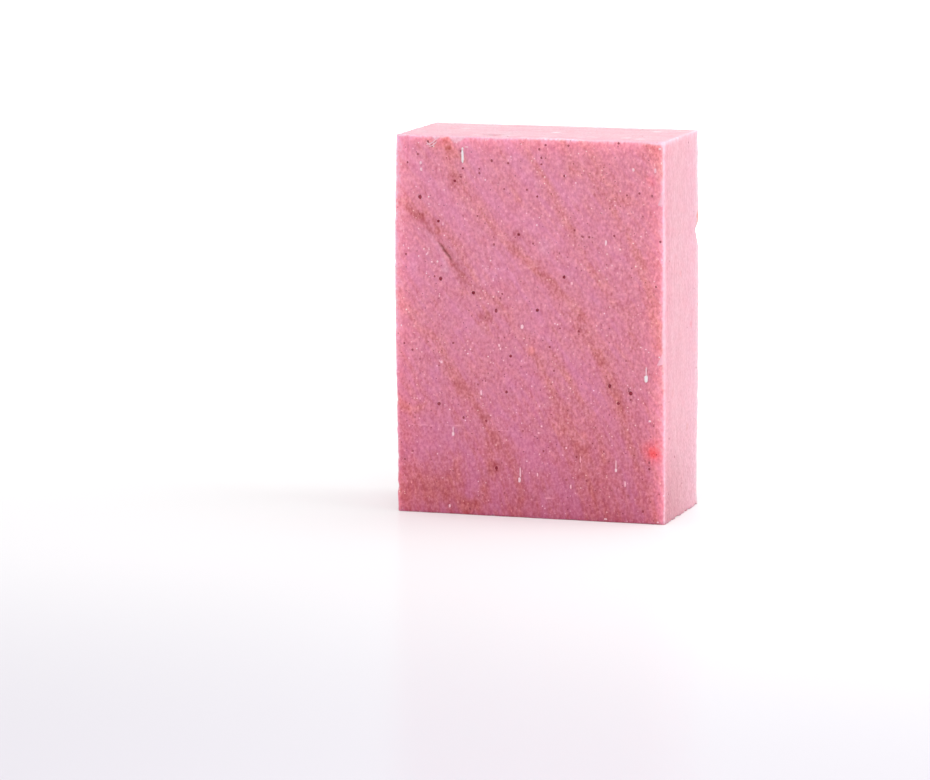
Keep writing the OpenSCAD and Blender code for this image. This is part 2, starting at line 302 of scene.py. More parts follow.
def grid_quads(number):
    """The quads between the points of a grid, from the grid of the points' numbers."""
    around = [number[:-1, :-1], number[1:, :-1], number[1:, 1:], number[:-1, 1:]]
    return np.stack(around, axis=-1).reshape(-1, 4)


def surface_grid(lines):
    """Points and outward-facing quads of the surface of a box cut by grid lines along its three axes."""
    shape = [len(axis_lines) for axis_lines in lines]
    indices = np.indices(shape)
    outside = np.zeros(shape, bool)
    for axis in range(3):
        outside |= (indices[axis] == 0) | (indices[axis] == shape[axis] - 1)
    number = np.full(shape, -1)
    number[outside] = np.arange(outside.sum())
    points = np.stack([lines[axis][indices[axis][outside]] for axis in range(3)], axis=1)
    quads = []
    for axis, end in itertools.product(range(3), (0, -1)):
        sheet = grid_quads(np.take(number, end, axis=axis))
        turned = (end == 0) != (axis == 1)
        quads.append(sheet[:, ::-1] if turned else sheet)
    return points, np.concatenate(quads)


def round_edges(points, radius):
    """Rounds the edges by the radius at each point. Returns the points and their outward directions."""
    inner = np.clip(points, BLOCK_LOW + radius[:, None], BLOCK_HIGH - radius[:, None])
    reach = points - inner
    outward = reach / np.linalg.norm(reach, axis=1)[:, None]
    return inner + outward * radius[:, None], outward


def edge_distance(points):
    """How far each point of the block's surface is from the nearest edge."""
    walls = np.minimum(points - BLOCK_LOW, BLOCK_HIGH - points)
    return np.sort(walls, axis=1)[:, 1]


def bow_sides(points):
    """How far each point moves along X because the two sides bow out."""
    up = np.clip(points[:, 2] / HEIGHT, 0, 1)
    back = (points[:, 1] - BLOCK_LOW[1]) / (BLOCK_HIGH[1] - BLOCK_LOW[1])
    right = (points[:, 0] - BLOCK_LOW[0]) / (BLOCK_HIGH[0] - BLOCK_LOW[0])
    left_ends = 0.12
    left_out = left_ends + (LEFT_BOW - left_ends) * np.sin(np.pi * up**1.5)
    right_out = RIGHT_BOW * np.sin(np.pi * up) * back + 0.4 * back * np.exp(-points[:, 2] / 4)
    right_out += 0.6 * (1 - back) * (1 - up)
    return right_out * right - left_out * (1 - right)


def chip_edge(points, corner, along, inward, place, reach_down, reach_up, depth):
    """Cuts a chip out of the edge through corner, deepest at place and running out over the two reaches."""
    ahead = points[:, along] - place
    reach = np.where(ahead > 0, reach_up, reach_down)
    profile = depth * np.clip(1 - np.abs(ahead) / reach, 0, 1) ** 0.8
    across = (points - corner) @ inward
    cut = np.where(profile > 0, np.clip(profile - across, 0, None), 0)
    near = across < depth + 0.5
    points += np.where(near, cut, 0)[:, None] * inward


def block_edges():
    """The twelve edges, as (the axis they run along, a point on them, the direction into the block)."""
    for along in range(3):
        others = [axis for axis in range(3) if axis != along]
        for ends in itertools.product((0, 1), repeat=2):
            corner = np.zeros(3)
            inward = np.zeros(3)
            for axis, end in zip(others, ends):
                corner[axis] = (BLOCK_LOW, BLOCK_HIGH)[end][axis]
                inward[axis] = (1, -1)[end] * math.sqrt(0.5)
            yield along, corner, inward


def nick_edges(points, random):
    """Small random nicks along every edge, as a blade leaves them, and more at the right side's foot."""
    for along, corner, inward in block_edges():
        length = BLOCK_HIGH[along] - BLOCK_LOW[along]
        for _ in range(round(length / 9)):
            place = BLOCK_LOW[along] + random.uniform(0.02, 0.98) * length
            reach_down, reach_up = random.uniform(0.4, 1.6, 2)
            chip_edge(points, corner, along, inward, place, reach_down, reach_up, random.uniform(0.2, 0.42))
    foot_right = np.array([BLOCK_HIGH[0], 0, BLOCK_LOW[2]])
    inward = np.array([-0.6, 0, 0.8])
    for _ in range(FOOT_NICKS):
        place = random.uniform(BLOCK_LOW[1], BLOCK_HIGH[1])
        reach = random.uniform(0.6, 1.4)
        chip_edge(points, foot_right, 1, inward, place, reach, reach, random.uniform(0.3, 0.8))


def chip_upright_edges(points):
    """The big chip in the back right edge, and the nicks in the front left one."""
    place, reach_down, reach_up, depth = CHIP
    back_right = np.array([BLOCK_HIGH[0], BLOCK_HIGH[1], 0])
    chip_edge(points, back_right, 2, np.array([-0.9, -0.436, 0]), place, reach_down, reach_up, depth)
    front_left = np.array([BLOCK_LOW[0], BLOCK_LOW[1], 0])
    for place, reach, depth in LEFT_NICKS:
        chip_edge(points, front_left, 2, np.array([1, 1, 0]) * math.sqrt(0.5), place, reach, reach, depth)


def from_stretch(x, z, start, end):
    """The share of a straight stretch at which it comes nearest to each (x, z), and how far off it is."""
    run_x, run_z = end[0] - start[0], end[1] - start[1]
    away_x, away_z = x - start[0], z - start[1]
    part = np.clip((away_x * run_x + away_z * run_z) / (run_x**2 + run_z**2), 0, 1)
    return part, np.hypot(away_x - part * run_x, away_z - part * run_z)


def along_line(x, z, line):
    """Distance of each (x, z) from a line of points, positive on the line's right side."""
    best = np.full(len(x), 1e9)
    signed = np.zeros(len(x))
    for start, end in itertools.pairwise(line):
        _, off = from_stretch(x, z, start, end)
        side = np.sign((z - start[1]) * (end[0] - start[0]) - (x - start[0]) * (end[1] - start[1]))
        closer = off < best
        best[closer] = off[closer]
        signed[closer] = (off * side)[closer]
    return signed


def fissure_fade(z):
    """1 along the open part of the fissure, running out at its two ends."""
    return np.clip((z - 58.3) / 2.2, 0, 1) * np.clip((64.4 - z) / 1.4, 0, 1)


def front_relief(points):
    """How far the front face stands out: the fissure, its raised left lip, and the hollow beside it."""
    x, z = points[:, 0], points[:, 2]
    off = along_line(x, z, FISSURE)
    relief = 0.16 * bell(off + 0.75, 0.6) - 0.36 * bell(off, 0.25) - 0.18 * bell(off - 1, 0.8)
    return relief * fissure_fade(z)


def dent_distance(points):
    """How far out each point is from the middle of the dent in the top end: 0.7 at its ragged outline."""
    across, back = ((points[:, axis] - DENT[axis]) / DENT_SPREAD[axis] for axis in (0, 1))
    return np.hypot(across, back) + 0.35 * wobble(points, 1.3, 41)


def top_relief(points):
    """How far the top end stands out: the dent with a raised rim in a shallow dip, and ripples."""
    off = dent_distance(points)
    ripples = 0.06 * wobble(points * [0.25, 1, 1], 4, 7)
    return ripples - 0.12 * bell(off, 2.2) - 0.4 * bell(off, 0.6) + 0.2 * bell(off - 1.2, 0.4)


def curtain_pull(x, z, curtains):
    """How strongly a list of curtains shows at each (x, z), each fading out over its half width."""
    total = np.zeros(len(x))
    for curtain in curtains:
        pull = np.zeros(len(x))
        for start, end in itertools.pairwise(curtain):
            part, off = from_stretch(x, z, start, end)
            reach, strength = (start[i] + part * (end[i] - start[i]) for i in (2, 3))
            pull = np.maximum(pull, strength * bell(off, reach))
        total += pull
    return total


def swirl_masks(points):
    """How brown and how dark the swirl is at each point. The curtains lean to the left towards the back."""
    x = points[:, 0] + LEAN * (points[:, 1] - FRONT_Y)
    x = x + 0.8 * wobble(points, 4, 21) + 0.5 * wobble(points, 1.3, 22)
    z = points[:, 2] + 0.8 * wobble(points, 4, 23) + 0.5 * wobble(points, 1.3, 24)

    # Between the curtains, the soap is a little browner on the right
    base = 0.32 + 0.1 * np.clip((x - 5) / 15, 0, 1)
    pull = curtain_pull(x, z, BROWN_CURTAINS) - curtain_pull(x, z, MAUVE_CURTAINS)
    brown = base + CURTAIN_STRENGTH * pull
    return {"brown": brown, "dark": np.clip(curtain_pull(x, z, DARK_CURTAINS), 0, 0.7)}


def sculpt_block():
    """Points, quads and masks of the whole bar."""
    lines = [graded_lines(*span) for span in zip(BLOCK_LOW, BLOCK_HIGH, GRID_LINES, FINER_LINES)]
    flat, quads = surface_grid(lines)

    # The edges: rounded unevenly, most at the front right one, then chipped and nicked
    right_front = np.exp((flat[:, 0] - BLOCK_HIGH[0]) / 3 + (BLOCK_LOW[1] - flat[:, 1]) / 3)
    upright = np.clip(flat[:, 2] / HEIGHT, 0, 1)
    radius = 0.3 + (0.3 + 0.3 * upright) * right_front
    radius = radius + 0.18 * wobble(flat, 7, 1) + 0.12 * wobble(flat, 1.8, 2)
    points, outward = round_edges(flat, np.clip(radius, 0.1, 1.0))
    chip_upright_edges(points)
    nick_edges(points, np.random.default_rng(11))

    # The faces: bowed sides, a blade's gentle waves, rougher near the edges, and the marks
    near_edge = np.exp(-edge_distance(flat) / 0.9)
    front = outward[:, 1] < -0.9
    top = outward[:, 2] > 0.9
    points[:, 0] += bow_sides(points)
    lift = 0.05 * wobble(flat, 16, 3) + 0.03 * wobble(flat, 3.5, 4)
    lift += near_edge * 0.16 * wobble(flat, 2.2, 5)
    lift += 0.012 * wobble(flat * [1.6, 1.6, 0.4], 1, 6)
    lift[front] += front_relief(points[front])
    lift[top] += top_relief(points[top])

    # The foot stays flat
    standing = np.clip(points[:, 2] / 1.5, 0, 1)
    lift *= np.where(outward[:, 2] < -0.5, 0, 0.3 + 0.7 * standing)
    points += outward * lift[:, None]
    masks = block_masks(flat, points, outward)
    return np.clip(points, BOX_LOW + [HAIR, 0, 0], BOX_HIGH - HAIR), quads, masks


def top_hang(flat):
    """1 where the top's pale skin and its painted sheen reach, over the front face's upper edge too, and 0
    elsewhere.
    """
    reach = np.interp(flat[:, 0], *zip(*TOP_HANG)) + 0.12 * wobble(flat * [1, 0, 0], 0.9, 31)
    below = BLOCK_HIGH[2] - flat[:, 2] - 0.15 * (flat[:, 1] - BLOCK_LOW[1])
    return smooth_step(0.5 + (reach - below) / 0.4)


def right_hang(flat):
    """1 where the side's pale skin and its painted sheen reach over the front face's right edge, and 0
    elsewhere.
    """
    reach = np.interp(flat[:, 2], *zip(*RIGHT_HANG)) + 0.15 * wobble(flat * [0, 0, 1], 0.9, 32)
    return smooth_step(0.5 + (reach - (BLOCK_HIGH[0] - flat[:, 0])) / 0.4)


def block_masks(flat, points, outward):
    """What the soap's material needs to know at each point."""
    x, y, z = points.T
    off = along_line(x, z, FISSURE)
    facing_front = np.clip(-outward[:, 1], 0, 1)
    facing_up = np.clip(outward[:, 2], 0, 1)
    ends = [flat[:, 0] - BLOCK_LOW[0], BLOCK_HIGH[0] - flat[:, 0], 1.5 * (BLOCK_HIGH[2] - z)]
    broad = smooth_step((np.abs(outward[:, 1]) - 0.55) / 0.35)
    skin = 1 - broad
    hang = top_hang(flat)

    # Around the top front edge, the skin ends where it hangs over
    near = (flat[:, 2] > 85) & (flat[:, 1] < -6) & (np.abs(outward[:, 0]) < 0.5)
    skin[near] = hang[near]
    hang = np.maximum(hang, right_hang(flat)) * facing_front
    skin = np.maximum(skin, hang)

    # Worn, chalky edges with a painted highlight along them, wider where the skin is, strongest on the
    # right and fainter towards the foot
    rightmost = np.clip(flat[:, 0] - BLOCK_HIGH[0] + 1, 0, 1)
    low = 1 - np.clip(z / HEIGHT, 0, 1)
    worn_and_lit = bell(edge_distance(flat), 0.3 + 0.2 * low + (0.75 + 0.3 * low) * skin)
    worn_and_lit *= (0.85 - 0.1 * low - 0.35 * low**2) * np.clip(z / 2, 0, 1)

    hollow_fade = np.clip((66 - z) / 4, 0, 1) * np.clip((z - 52) / 4, 0, 1)
    dent_off = dent_distance(points)
    return swirl_masks(points) | {
        "skin": skin,
        "hang": hang,
        "inland": np.min(ends, axis=0) * broad,
        "wear_and_highlight": worn_and_lit * (0.25 + 0.75 * rightmost),
        # The dent gets painted shade, and the near side of its rim a painted highlight
        "dent": bell(dent_off, 0.7) * facing_up,
        "dent_rim_highlight": bell(dent_off - 1.4, 0.45) * facing_up * np.clip(-8 - y, 0, 1),
        "fissure": bell(off, 0.26) * fissure_fade(z) * facing_front,
        "lip": bell(along_line(x, z, LIP), 0.5) * facing_front,
        "hollow": bell(off - 0.8, 0.9) * hollow_fade * facing_front,
    }


def add_object(name, data):
    """An object in the scene, from its mesh, light or camera."""
    made = bpy.data.objects.new(name, data)
    bpy.context.scene.collection.objects.link(made)
    return made


def make_piece(name, points, faces, material, masks):
    """A mesh object in the part's frame, from points in millimetres, that rides on the bar."""
    mesh = bpy.data.meshes.new(name)
    mesh.from_pydata((points * MM).tolist(), [], faces.tolist())
    mesh.polygons.foreach_set("use_smooth", [True] * len(mesh.polygons))
    mesh.materials.append(material)
    for mask, values in masks.items():
        mesh.attributes.new(mask, "FLOAT", "POINT").data.foreach_set("value", values)
    piece = add_object(name, mesh)
    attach(piece, "root")
    return piece


# A lens's rings, as (share of its half width, height as a share of how far it stands proud)
LENS_RINGS = [(0.55, 0.85), (0.9, 0.45), (1.0, -0.4)]

# Specks and smears, as (how far they stand proud, corners, 1 for round or less for squarer, seed)
SPECK_LENS = (0.02, 10, 1.0, 21)
SMEAR_LENS = (0.1, 16, 0.75, 22)


def lens(centre, outward, upright, width, height, proud, sides, squareness, random):
    """Points and triangles of a closed low lens, sunk in a surface and standing proud of it by so much."""
    across = np.cross(upright, outward)
    across /= np.linalg.norm(across)
    upright = np.cross(outward, across)
    turns = np.arange(sides) / sides * 2 * math.pi
    ragged = 1 + 0.13 * random.uniform(-1, 1, sides)
    cosine, sine = (np.sign(wave) * np.abs(wave) ** squareness for wave in (np.cos(turns), np.sin(turns)))
    outline = np.outer(width / 2 * ragged * cosine, across) + np.outer(height / 2 * ragged * sine, upright)
    rings = [outline * spread + outward * proud * rise for spread, rise in LENS_RINGS]
    points = centre + np.vstack([outward * proud, *rings, -outward * proud])
    return points, lens_faces(sides)


def lens_faces(sides):
    """The triangles of a lens: a fan at the crown, strips between the rings, and a fan underneath."""
    faces = []
    last = 1 + (len(LENS_RINGS) - 1) * sides
    closing = last + sides
    for i in range(sides):
        after = (i + 1) % sides
        faces.append((0, 1 + i, 1 + after))
        for start in range(1, last, sides):
            faces.append((start + i, start + sides + i, start + sides + after))
            faces.append((start + i, start + sides + after, start + after))
        faces.append((last + i, closing, last + after))
    return np.array(faces)


class Surface:
    """The block's surface, to set small things on."""

    def __init__(self, points, quads):
        self.tree = BVHTree.FromPolygons(points.tolist(), quads.tolist())

    def under(self, start, inward):
        """The point that is hit from start going inward, and the surface's outward direction there."""
        place, outward, _, _ = self.tree.ray_cast(Vector(start), Vector(inward))
        return np.array(place), np.array(outward)

    def front(self, x, z):
        """The point of the front face at (x, z)."""
        return self.under(*on_front(x, z))[0]


def face_frames():
    """For each face of the block: a start outside it, the inward direction, and its two in-plane axes."""
    middle = (BLOCK_LOW + BLOCK_HIGH) / 2
    for axis, end in itertools.product(range(3), (0, 1)):
        inward = np.zeros(3)
        inward[axis] = (1, -1)[end]
        start = middle.copy()
        start[axis] = (BOX_LOW - 1, BOX_HIGH + 1)[end][axis]
        yield (axis, end), start, inward, [other for other in range(3) if other != axis]


def set_lenses(name, spots, surface, material, make):
    """One piece of many small lenses, each from (start, inward, width, height, whiteness)."""
    proud, sides, squareness, seed = make
    random = np.random.default_rng(seed)
    points, faces, whiteness = [], [], []
    for start, inward, width, height, white in spots:
        centre, outward = surface.under(start, inward)
        upright = (0, 0, 1) if abs(inward[2]) < 0.5 else (0, 1, 0)
        made, triangles = lens(centre, outward, upright, width, height, proud, sides, squareness, random)
        faces.append(triangles + sum(len(group) for group in points))
        points.append(np.clip(made, BOX_LOW, BOX_HIGH))
        whiteness += [white] * len(made)
    return make_piece(name, np.vstack(points), np.vstack(faces), material, {"whiteness": whiteness})


def on_front(x, z):
    """Start and inward direction for a mark on the front face."""
    return np.array([x, BOX_LOW[1] - 1, z]), np.array([0.0, 1.0, 0.0])


def speck_spots():
    """All dark specks: those listed for the front, and random ones on the other faces."""
    random = np.random.default_rng(5)
    for specks, size, white in ((LARGE_SPECKS, 0.78, 0.1), (SMALL_SPECKS, 0.54, 0.5)):
        for x, z in specks:
            width = size * random.uniform(0.85, 1.15)
            yield *on_front(x, z), width, width * random.uniform(0.9, 1.3), white + random.uniform(0, 0.5)
    for key, start, inward, plane in face_frames():
        for _ in range(SPECKS_PER_FACE.get(key, 0)):
            place = start.copy()
            for axis in plane:
                place[axis] = random.uniform(BLOCK_LOW[axis] + 1.5, BLOCK_HIGH[axis] - 1.5)
            width = random.uniform(0.28, 0.55)
            white = random.uniform(0.2, 0.8) if key[0] == 1 else random.uniform(0.7, 1.5)
            yield place, inward, width, width * random.uniform(0.9, 1.3), white


def smear_spots():
    """All pale smears: those listed for the front, and random ones on the back."""
    random = np.random.default_rng(8)
    for x, z, width, height, white in SMEARS:
        yield *on_front(x, z), width, height, white
    inward = np.array([0.0, -1.0, 0.0])
    for _ in range(BACK_SMEARS):
        x = random.uniform(BLOCK_LOW[0] + 2, BLOCK_HIGH[0] - 2)
        z = random.uniform(2, HEIGHT - 2)
        width = random.uniform(0.3, 0.6)
        start = np.array([x, BOX_HIGH[1] + 1, z])
        yield start, inward, width, width * random.uniform(1, 4), random.uniform(0.1, 0.6)


def closed_sheet(top, bottom):
    """Points and quads of the closed solid between two grids of points of the same shape."""
    rows, columns = top.shape[:2]
    number = np.arange(rows * columns).reshape(rows, columns)
    under = number + rows * columns
    lower = grid_quads(under)[:, [0, 3, 2, 1]]
    rim = np.concatenate([number[:-1, 0], number[-1, :-1], number[:0:-1, -1], number[0, :0:-1]])
    after = np.roll(rim, -1)
    wall = np.stack([rim, rim + rows * columns, after + rows * columns, after], axis=-1)
    points = np.concatenate([top.reshape(-1, 3), bottom.reshape(-1, 3)])
    return points, np.concatenate([grid_quads(number), lower, wall])


# Rows along a burr, and columns across it
BURR_GRID = (13, 8)


def burr_flake(surface, foot, random):
    """A thin three-cornered flake, rooted at the front right edge and folded in over the front face."""
    outer = BLOCK_HIGH[0] - 0.12
    rows, columns = BURR_GRID
    ragged = random.uniform(-0.12, 0.12, rows)
    top = np.zeros((rows, columns, 3))
    bottom = np.zeros((rows, columns, 3))
    for row, up in enumerate(np.linspace(0, 1, rows)):
        width = 0.15 + (BURR_WIDTH - 0.15) * (1 - up) ** 0.9 * (1 + ragged[row])
        for column, over in enumerate(np.linspace(0, 1, columns)):
            x = outer - over * width
            z = foot + BURR_LENGTH * up - 0.25 * over * (1 - up)
            rise = (0.05 + 0.17 * math.sin(math.pi * (0.15 + 0.7 * over))) * (1 - 0.5 * up)
            ground = surface.front(x, z)
            top[row, column] = ground - [0, min(rise, BURR_LIFT - 0.03), 0]
            bottom[row, column] = ground + [0, 0.15, 0]
    return closed_sheet(top, bottom)


def set_burrs(surface, material):
    """The two burrs on the front right edge."""
    random = np.random.default_rng(3)
    upper, lower = (burr_flake(surface, foot, random) for foot in (UPPER_BURR_FOOT, LOWER_BURR_FOOT))
    points = np.concatenate([upper[0], lower[0]])
    faces = np.concatenate([upper[1], lower[1] + len(upper[0])])
    make_piece("edge_burrs", points, faces, material, {"whiteness": [0.1] * len(points)})


# Strands of the curled shaving near the top left corner, as points (x, z) on the front face
SHAVING = [
    [(-25.0, 86.8), (-24.2, 86.9), (-23.3, 87.4), (-22.3, 88.3)],
    [(-24.2, 86.3), (-23.4, 86.6), (-22.8, 87.1), (-22.3, 87.6)],
    [(-24.9, 87.4), (-24.4, 87.0), (-23.9, 86.6)],
]
STRAND_RADIUS = 0.13
STRAND_SIDES = 8


def strand(surface, line):
    """A tapering round strand that lies on the front face along a line of (x, z) points."""
    steps = np.linspace(0, len(line) - 1, 6 * len(line))
    xs, zs = (np.interp(steps, range(len(line)), values) for values in zip(*line))
    spine = np.array([surface.front(x, z) for x, z in zip(xs, zs)])
    along = np.gradient(spine, axis=0)
    along /= np.linalg.norm(along, axis=1)[:, None]
    sideways = np.cross(along, (0, 1, 0))
    out = np.cross(sideways, along)
    girth = STRAND_RADIUS * np.sin(np.pi * np.linspace(0.06, 0.94, len(steps))) ** 0.5
    rings = []
    for turn in np.arange(STRAND_SIDES) / STRAND_SIDES * 2 * math.pi:
        rings.append(spine + (sideways * math.cos(turn) - out * math.sin(turn)) * girth[:, None])
    rings = np.stack(rings, axis=1)
    number = np.arange(len(steps) * STRAND_SIDES).reshape(-1, STRAND_SIDES)
    return rings.reshape(-1, 3), grid_quads(np.hstack([number, number[:, :1]]))


def set_shaving(surface, material):
    """The curled shaving that the blade left near the top left corner."""
    points, faces = [], []
    for line in SHAVING:
        made, quads = strand(surface, line)
        faces.append(quads + sum(len(group) for group in points))
        points.append(made)
    points = np.vstack(points)
    make_piece("shaving_curl", points, np.vstack(faces), material, {"whiteness": [0.35] * len(points)})


def tone(red, green, blue):
    """A screen colour, each part from 0 to 255. Each soap material turns its mix into light at its end."""
    return (red / 255, green / 255, blue / 255, 1)


class Nodes:
    """Short names for building one tree of shader nodes."""

    def __init__(self, tree):
        self.tree = tree

    def node(self, kind, inputs=(), **settings):
        """A new node, with the given settings and inputs."""
        made = self.tree.nodes.new(kind)
        for key, value in settings.items():
            setattr(made, key, value)
        for key, value in dict(inputs).items():
            self.feed(made.inputs[key], value)
        return made

    def feed(self, socket, value):
        """Links another node's output to a socket, or sets the socket to a constant."""
        if isinstance(value, bpy.types.NodeSocket):
            self.tree.links.new(value, socket)
        else:
            socket.default_value = value

    def math(self, operation, *values):
        """The outcome of a sum with numbers."""
        return self.node("ShaderNodeMath", enumerate(values), operation=operation).outputs[0]

    def times(self, first, second):
        """The product of two numbers."""
        return self.math("MULTIPLY", first, second)

    def vector_math(self, operation, *values):
        """The two outcomes of a sum with vectors: the vector at 0, and the number in "Value"."""
        return self.node("ShaderNodeVectorMath", enumerate(values), operation=operation).outputs

    def fade(self, value, start, end, low=0.0, high=1.0):
        """Goes in a smooth step from low at start to high at end."""
        inputs = {"Value": value, "From Min": start, "From Max": end, "To Min": low, "To Max": high}
        return self.node("ShaderNodeMapRange", inputs, interpolation_type="SMOOTHSTEP").outputs[0]


class Shading(Nodes):
    """Short names for building one material's nodes."""

    def __init__(self, name):
        self.material = bpy.data.materials.new(name)
        self.material.use_nodes = True
        super().__init__(self.material.node_tree)
        self.shader = self.tree.nodes["Principled BSDF"]
        self.output = self.tree.nodes["Material Output"]

    def position(self):
        """The place on the object, in millimetres."""
        coordinates = self.node("ShaderNodeTexCoord").outputs["Object"]
        return self.stretch(coordinates, (1 / MM, 1 / MM, 1 / MM))

    def stretch(self, vector, factors):
        """A vector with each part times its factor."""
        return self.vector_math("MULTIPLY", vector, factors)[0]

    def split(self, vector):
        """The three parts of a vector."""
        return self.node("ShaderNodeSeparateXYZ", {0: vector}).outputs

    def noise(self, vector, scale, detail=2.0, roughness=0.5):
        """Noise around 0.5, with about scale waves to the millimetre."""
        inputs = {"Vector": vector, "Scale": scale, "Detail": detail, "Roughness": roughness}
        return self.node("ShaderNodeTexNoise", inputs).outputs[0]

    def swing(self, value, reach):
        """Turns noise around 0.5 into a value around 0 that reaches about so far."""
        return self.times(self.math("SUBTRACT", value, 0.5), 2 * reach)

    def warp(self, vector, scale, reach):
        """Pushes each place about by up to so many millimetres."""
        inputs = {"Vector": vector, "Scale": scale, "Detail": 2.0}
        cloud = self.node("ShaderNodeTexNoise", inputs).outputs["Color"]
        push = self.vector_math("SUBTRACT", cloud, (0.5, 0.5, 0.5))[0]
        return self.vector_math("MULTIPLY_ADD", push, (2 * reach,) * 3, vector)[0]

    def dots(self, vector, scale, size, share):
        """Dots of about size millimetres radius, in a share of the cells that the scale makes."""
        cells = self.node("ShaderNodeTexVoronoi", {"Vector": vector, "Scale": scale})
        chosen = self.math("LESS_THAN", self.split(cells.outputs["Color"])[0], share)
        near = self.fade(cells.outputs["Distance"], size * scale * 0.45, size * scale, 1.0, 0.0)
        return self.times(near, chosen)

    def mask(self, name):
        """The value of a mask that the mesh carries."""
        return self.node("ShaderNodeAttribute", attribute_name=name).outputs["Fac"]

    def falloff(self, distance, reach):
        """1 at no distance, falling to a third at reach."""
        return self.math("EXPONENT", self.math("DIVIDE", distance, -reach))

    def spot(self, vector, centre, core, rim):
        """1 inside core of a centre, falling to 0 at rim."""
        off = self.vector_math("DISTANCE", vector, centre)["Value"]
        return self.fade(off, core, rim, 1.0, 0.0)

    def colour_ramp(self, factor, stops):
        """A ramp of screen colours through the (position, colour) stops."""
        made = self.node("ShaderNodeValToRGB", {0: factor})
        elements = made.color_ramp.elements
        while len(elements) < len(stops):
            elements.new(0.5)
        for element, (position, colour) in zip(elements, stops):
            element.position = position
            element.color = tone(*colour)
        return made.outputs[0]

    def add(self, colour, factor, amount):
        """Adds factor times amount, which may be below 0, to a colour."""
        scaled = self.node("ShaderNodeVectorMath", {0: amount[:3], 3: factor}, operation="SCALE").outputs[0]
        return self.vector_math("ADD", colour, scaled)[0]

    def blend(self, factor, first, second):
        """Goes from the first colour at factor 0 to the second at 1."""
        return self.node("ShaderNodeMix", {0: factor, 6: first, 7: second}, data_type="RGBA").outputs[2]

    def tint(self, colour, value, strength, new):
        """Blends a colour with a new one by value times strength."""
        return self.blend(self.times(value, strength), colour, new)

    def add_spots(self, colour, vector, spots):
        """Blends a colour with spots, as (centre, reach, strength, screen colour)."""
        for centre, reach, strength, spot in spots:
            near = self.spot(vector, centre, 0.1 * reach, reach)
            colour = self.tint(colour, near, strength, tone(*spot))
        return colour

    def finish(self, colour, roughness):
        """Turns the screen colour into light and feeds it to the shader."""
        light = self.node("ShaderNodeGamma", {"Color": colour, "Gamma": 2.2}).outputs[0]
        self.feed(self.shader.inputs["Base Color"], light)
        self.feed(self.shader.inputs["Roughness"], roughness)

    def glow_through(self, weight, radius, scale):
        """Lets light wander so many millimetres under the surface."""
        self.shader.inputs["Subsurface Weight"].default_value = weight
        self.shader.inputs["Subsurface Radius"].default_value = radius
        self.shader.inputs["Subsurface Scale"].default_value = scale * MM


# Flow of the swirl: how far a curtain has moved along X at height z, as a cubic in z without its constant
FLOW_CUBIC, FLOW_SQUARE, FLOW_SLOPE = -0.00004, 0.0081, 0.2
FLOW_STRETCH = 0.42


def flow_space(shading, position):
    """The position in the swirl's own axes. The curtains fall to the right, steeper towards the foot."""
    x, y, z = shading.split(position)
    slope = shading.math("MULTIPLY_ADD", z, FLOW_CUBIC, FLOW_SQUARE)
    slope = shading.math("MULTIPLY_ADD", slope, z, FLOW_SLOPE)
    across = shading.math("MULTIPLY_ADD", slope, z, x)
    depth = shading.math("SUBTRACT", y, float(FRONT_Y))
    across = shading.math("MULTIPLY_ADD", depth, LEAN, across)
    inputs = {0: across, 1: depth, 2: shading.times(z, FLOW_STRETCH)}
    return shading.node("ShaderNodeCombineXYZ", inputs).outputs[0]


def swirl(shading, position):
    """How brown the soap is, from 0 to 1: the curtains, with streaks along them and finer blotches."""
    flow = flow_space(shading, position)
    streaks = shading.swing(shading.noise(shading.stretch(flow, (1, 1, 0.3)), 0.6, 3, 0.6), 0.55)
    blotches = shading.swing(shading.noise(flow, 0.6, 3, 0.65), 0.6)
    return shading.math("ADD", shading.mask("brown"), shading.math("ADD", streaks, blotches))


# Tones of the two soaps that swirl together, as (height on the bar, colour). They darken towards the foot,
# partly in the soap's own tone and partly as painted shade.
MAUVE = [
    (3, (204, 113, 145)), (14, (214, 125, 157)), (26, (220, 133, 166)), (40, (225, 140, 172)),
    (60, (228, 145, 177)), (86, (232, 148, 178)),
]
BROWN = [
    (3, (200, 104, 112)), (14, (208, 116, 123)), (26, (215, 126, 133)), (40, (220, 134, 141)),
    (60, (224, 138, 147)), (86, (228, 142, 150)),
]

# The brown where it lies thick; the hollow's brown and the fissure's dark, each partly painted shade; and
# the painted highlight on the lip
THICK_BROWN = tone(178, 76, 82)
HOLLOW_BROWN_AND_SHADE = tone(184, 100, 108)
LIP_HIGHLIGHT = tone(240, 176, 196)
FISSURE_DARK_AND_SHADE = tone(146, 62, 72)

# Screen colours that several spots share
RUST = (202, 98, 104)
SALMON = (242, 150, 152)
